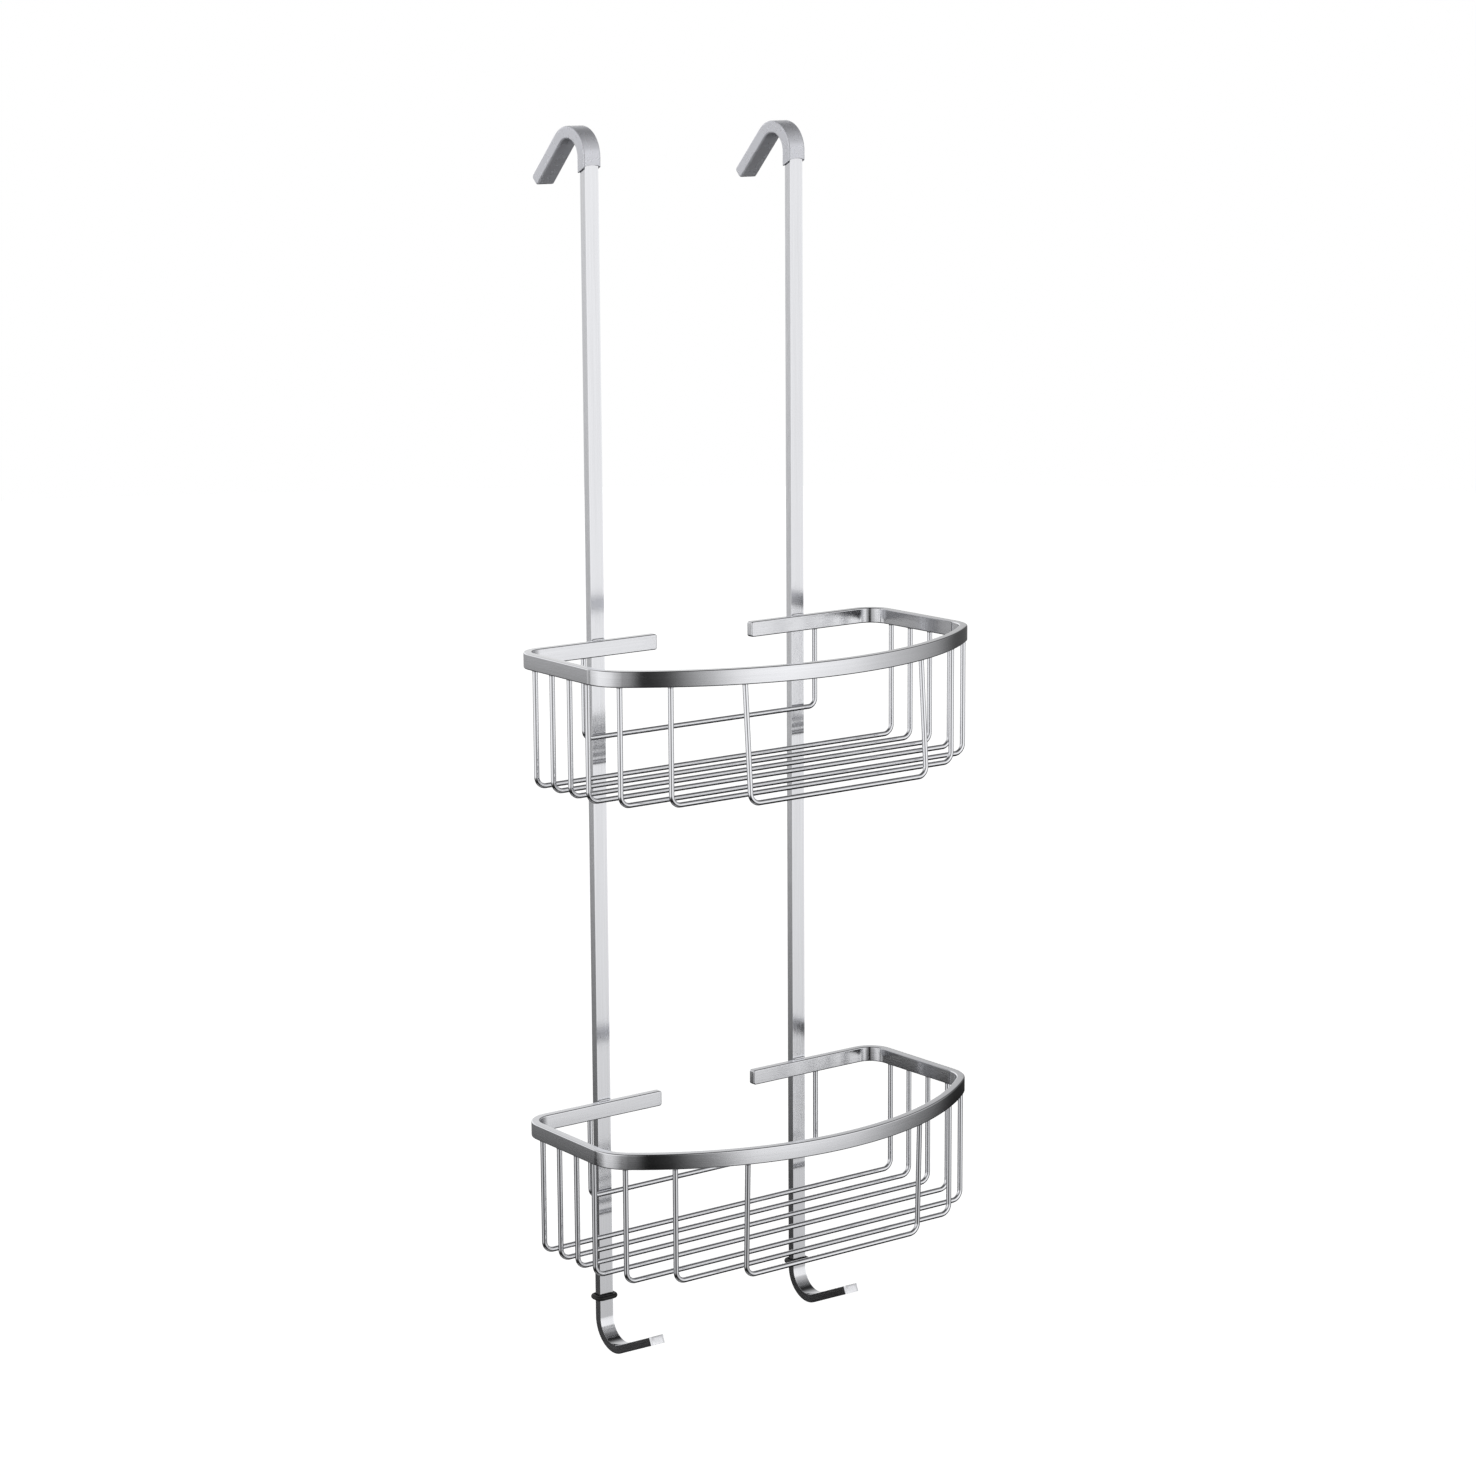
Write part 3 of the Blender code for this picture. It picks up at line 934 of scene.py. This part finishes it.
class CADDY_OT_basket_wires(bpy.types.Operator):
    """Bend the basket wires; those alike in both baskets are bent once and copied"""
    bl_idname = "caddy.basket_wires"
    bl_label = "Basket Wires"

    def execute(self, context):
        bars = context.scene.caddy_bars
        baskets = context.scene.caddy_baskets
        steel = wire_steel(context.scene.caddy_finishes)
        down = (0.0, 0.0, RIM_TOP["lower"] - RIM_TOP["upper"])
        for number, depth in enumerate(WIRE_DEPTHS, start=1):
            half_width = rim_half_width_at(bars, baskets, depth)
            pieces = []
            for tier in TIERS:
                name = "%s_floor_wire_%d" % (tier, number)
                if tier == "lower" and number < len(WIRE_DEPTHS):
                    pieces.append(copy_beside(pieces[0], name, down))
                else:
                    lean = FRONT_WIRE_LEAN[tier] if number == len(WIRE_DEPTHS) else 0.0
                    pieces.append(bend_wire(context, name, half_width, RIM_REAR_Y - depth, tier,
                                            baskets.floor_drop, baskets.wire_bend, lean))
            for tier, piece in zip(TIERS, pieces):
                dress(piece, steel, "steel", "root", "%s_basket_wire_%d" % (tier, number))
        return {"FINISHED"}


class CADDY_OT_guard_wires(bpy.types.Operator):
    """Bend the upper guard wire, weld it to the uprights, and copy it for the lower basket"""
    bl_idname = "caddy.guard_wires"
    bl_label = "Guard Wires"

    def execute(self, context):
        bars = context.scene.caddy_bars
        baskets = context.scene.caddy_baskets
        y = middle_of("upper_guard_wire").y
        upper = bend_wire(context, "upper_rear_guard", baskets.guard_half_width, y, "upper",
                          baskets.guard_drop, baskets.guard_bend)
        bead_radius = 0.0007
        bead_length = BAR_WIDTH * 0.5
        bead_y = front_of_uprights(bars) - bead_radius * 0.2
        z = RIM_TOP["upper"] - baskets.guard_drop
        beads = [weld_bead("bead", (UPRIGHT_X[side], bead_y, z), bead_length, bead_radius) for side in SIDES]
        join_into(upper, beads)
        smooth(upper)
        lower = copy_beside(upper, "lower_rear_guard", (0.0, 0.0, RIM_TOP["lower"] - RIM_TOP["upper"]))
        steel = wire_steel(context.scene.caddy_finishes)
        for tier, piece in zip(TIERS, (upper, lower)):
            dress(piece, steel, "steel", "root", tier + "_guard_wire")
        return {"FINISHED"}


def ramp(tree, value, stops):
    """A grey ramp over degrees from -180 to 180, with its stops as (degrees, brightness)."""
    share = maths(tree, "ADD", maths(tree, "DIVIDE", value, 2 * math.pi), 0.5)
    node = add_node(tree, "ShaderNodeValToRGB", {"Fac": share})
    elements = node.color_ramp.elements
    while len(elements) > 1:
        elements.remove(elements[-1])
    for index, (degrees, brightness) in enumerate(stops):
        position = degrees / 360 + 0.5
        stop = elements[0] if index == 0 else elements.new(position)
        stop.position = position
        stop.color = (brightness, brightness, brightness, 1.0)
    return node.outputs["Color"]


# The soft studio surround: brightness against the way round the caddy (0 is the front, 90 the left) ...
AROUND = ((-180, 0.8), (-145, 0.8), (-141, 0.6), (-130, 0.3), (-118, 0.1), (-103, 0.08), (-95, 0.18),
          (-87, 0.34), (-74, 0.5), (-50, 0.78), (-40, 0.98), (-15, 1.16), (0, 1.08), (7, 0.92), (13, 0.64),
          (21, 0.36), (28, 0.08), (38.7, 0.01), (40.5, 0.3), (46, 0.5), (60, 0.72), (72, 0.95), (90, 1.05),
          (105, 1.1), (120, 0.95), (131, 0.84), (134.5, 0.4), (139, 0.4), (141, 0.62), (144.6, 0.74),
          (180, 0.74))
# ... against height, where the light panels stand low and where they stop short
HEIGHT_LOW = ((-90, 0.3), (-62, 0.25), (-52, 0.02), (-38, 0.04), (-31, 0.2), (-25, 0.44), (-20, 0.66),
              (-17, 0.84), (-13, 0.97), (18, 1.08), (21, 0.9), (25, 0.6), (42, 0.5), (52, 0.26), (62, 0.1),
              (90, 0.06))
HEIGHT_SHORT = ((-90, 0.3), (-62, 0.25), (-52, 0.01), (-18.5, 0.02), (-16.5, 0.18), (-14, 0.55), (-11, 0.9),
                (-3, 1.15), (10, 1.0), (36, 0.9), (50, 0.4), (62, 0.1), (90, 0.06))
SHORTNESS = ((-180, 1.0), (-100, 0.9), (-70, 0.5), (-50, 0.15), (0, 0.0), (15, 0.5), (60, 0.7), (85, 0.15),
             (105, 0.15), (118, 0.7), (135, 1.0), (180, 1.0))
# ... and behind, where it is dim below eye height and bright above it
HEIGHT_BACK = ((-90, 0.3), (-62, 0.2), (-30, 0.06), (-20, 0.08), (-16, 0.2), (-11, 0.32), (-7, 0.5),
               (0, 0.85), (7, 1.12), (20, 1.0), (36, 0.6), (60, 0.15), (90, 0.06))
BEHIND = ((-180, 1.0), (-160, 1.0), (-152, 0.0), (144.8, 0.0), (146.2, 1.0), (180, 1.0))


class CADDY_OT_stage(bpy.types.Operator):
    """Set the pale floor, the soft studio light and the camera"""
    bl_idname = "caddy.stage"
    bl_label = "Stage"

    def execute(self, context):
        stage = context.scene.caddy_stage
        self.lay_floor(stage)
        self.light(context.scene)
        self.place_camera(context.scene, stage)
        context.scene.view_settings.view_transform = "Standard"
        return {"FINISHED"}

    @staticmethod
    def lay_floor(stage):
        """A broad pale floor well below the caddy."""
        radius, thickness = 14.0, 0.05
        floor = round_section("pale_floor", (0.0, 0.0, -stage.floor_depth), (0.0, 0.0, 0.0), radius, 96)
        draw_out((0.0, 0.0, -stage.floor_depth), [run((0.0, 0.0, -thickness))])
        bpy.ops.mesh.select_all(action="SELECT")
        bpy.ops.mesh.normals_make_consistent(inside=False)
        clear_selection()
        material, tree, shader = new_finish("pale_floor_paint")
        film = use_group(tree, "water_film", Size=0.8)
        tone = blend_colour(tree, film.outputs["Film"], shade(stage.floor_colour, 0.99), stage.floor_colour)
        tree.links.new(tone, shader.inputs["Base Color"])
        shader.inputs["Roughness"].default_value = 0.8
        shader.inputs["Emission Color"].default_value = (1.0, 1.0, 1.0, 1.0)
        shader.inputs["Emission Strength"].default_value = 0.75
        floor.data.materials.append(material)
        floor.visible_glossy = False
        floor.visible_diffuse = False

    @staticmethod
    def light(scene):
        """A soft studio surround, with a white backdrop to the camera."""
        world = bpy.data.worlds.new("soft_studio")
        scene.world = world
        world.use_nodes = True
        tree = world.node_tree
        tree.nodes.clear()
        way = add_node(tree, "ShaderNodeTexCoord").outputs["Generated"]
        parts = add_node(tree, "ShaderNodeSeparateXYZ", {0: way})
        turn = maths(tree, "ARCTAN2", maths(tree, "MULTIPLY", parts.outputs["X"], -1.0),
                     maths(tree, "MULTIPLY", parts.outputs["Y"], -1.0))
        height = maths(tree, "ARCSINE", parts.outputs["Z"])
        fall = blend_colour(tree, ramp(tree, turn, SHORTNESS), ramp(tree, height, HEIGHT_LOW),
                            ramp(tree, height, HEIGHT_SHORT))
        ahead = maths(tree, "MULTIPLY", ramp(tree, turn, AROUND), fall)
        first, second = MIX_VALUES
        glow = add_node(tree, "ShaderNodeMix", {"Factor": ramp(tree, turn, BEHIND), first: ahead,
                                                second: ramp(tree, height, HEIGHT_BACK)}).outputs[0]
        white = (1.0, 1.0, 1.0, 1.0)
        lights = [add_node(tree, "ShaderNodeBackground", {"Color": white, "Strength": strength}).outputs[0]
                  for strength in (glow, 1.0)]
        seen = add_node(tree, "ShaderNodeLightPath").outputs["Is Camera Ray"]
        mixed = add_node(tree, "ShaderNodeMixShader", {0: seen, 1: lights[0], 2: lights[1]})
        add_node(tree, "ShaderNodeOutputWorld", {"Surface": mixed.outputs[0]})

    @staticmethod
    def place_camera(scene, stage):
        """A camera at the front and left, a little above the middle of the caddy."""
        turn, rise, roll = stage.azimuth, stage.elevation, stage.roll
        back = Vector((math.sin(turn) * math.cos(rise), -math.cos(turn) * math.cos(rise), math.sin(rise)))
        right = Vector((math.cos(turn), math.sin(turn), 0.0))
        up = back.cross(right)
        rolled_right = right * math.cos(roll) + up * math.sin(roll)
        rolled_up = up * math.cos(roll) - right * math.sin(roll)
        lens = bpy.data.cameras.new("caddy_camera")
        lens.lens = stage.lens
        lens.sensor_width = 36.0
        lens.clip_end = 60.0
        camera = bpy.data.objects.new("caddy_camera", lens)
        camera.matrix_world = (Matrix.Translation(AIM + back * stage.distance)
                               @ Matrix((rolled_right, rolled_up, back)).transposed().to_4x4())
        scene.collection.objects.link(camera)
        scene.camera = camera


class CADDY_PT_sidebar(bpy.types.Panel):
    """Lists the caddy's pieces and the stage"""
    bl_idname = "CADDY_PT_sidebar"
    bl_label = "Shower Caddy"
    bl_space_type = "VIEW_3D"
    bl_region_type = "UI"
    bl_category = "Shower Caddy"

    def draw(self, context):
        layout = self.layout
        for operator in OPERATORS:
            layout.operator(operator.bl_idname)
        for name, group in SETTINGS.items():
            box = layout.box()
            for label in group.__annotations__:
                box.prop(getattr(context.scene, name), label)


SETTINGS = {
    "caddy_bars": CaddyBars,
    "caddy_sleeves": CaddySleeves,
    "caddy_baskets": CaddyBaskets,
    "caddy_rings": CaddyRings,
    "caddy_finishes": CaddyFinishes,
    "caddy_stage": CaddyStage,
}
OPERATORS = (
    CADDY_OT_uprights,
    CADDY_OT_hook_sleeves,
    CADDY_OT_bumper_rings,
    CADDY_OT_rims,
    CADDY_OT_basket_wires,
    CADDY_OT_guard_wires,
    CADDY_OT_stage,
)


def register():
    """Register the settings, the operators and the panel."""
    for name, group in SETTINGS.items():
        bpy.utils.register_class(group)
        setattr(bpy.types.Scene, name, bpy.props.PointerProperty(type=group))
    for operator in OPERATORS:
        bpy.utils.register_class(operator)
    bpy.utils.register_class(CADDY_PT_sidebar)


def unregister():
    """Take everything out again."""
    bpy.utils.unregister_class(CADDY_PT_sidebar)
    for operator in reversed(OPERATORS):
        bpy.utils.unregister_class(operator)
    for name, group in reversed(list(SETTINGS.items())):
        delattr(bpy.types.Scene, name)
        bpy.utils.unregister_class(group)


def main():
    """Build the caddy and its stage."""
    register()
    bpy.ops.caddy.uprights()
    bpy.ops.caddy.hook_sleeves()
    bpy.ops.caddy.bumper_rings()
    bpy.ops.caddy.rims()
    bpy.ops.caddy.basket_wires()
    bpy.ops.caddy.guard_wires()
    bpy.ops.caddy.stage()


if __name__ == "__main__":
    main()
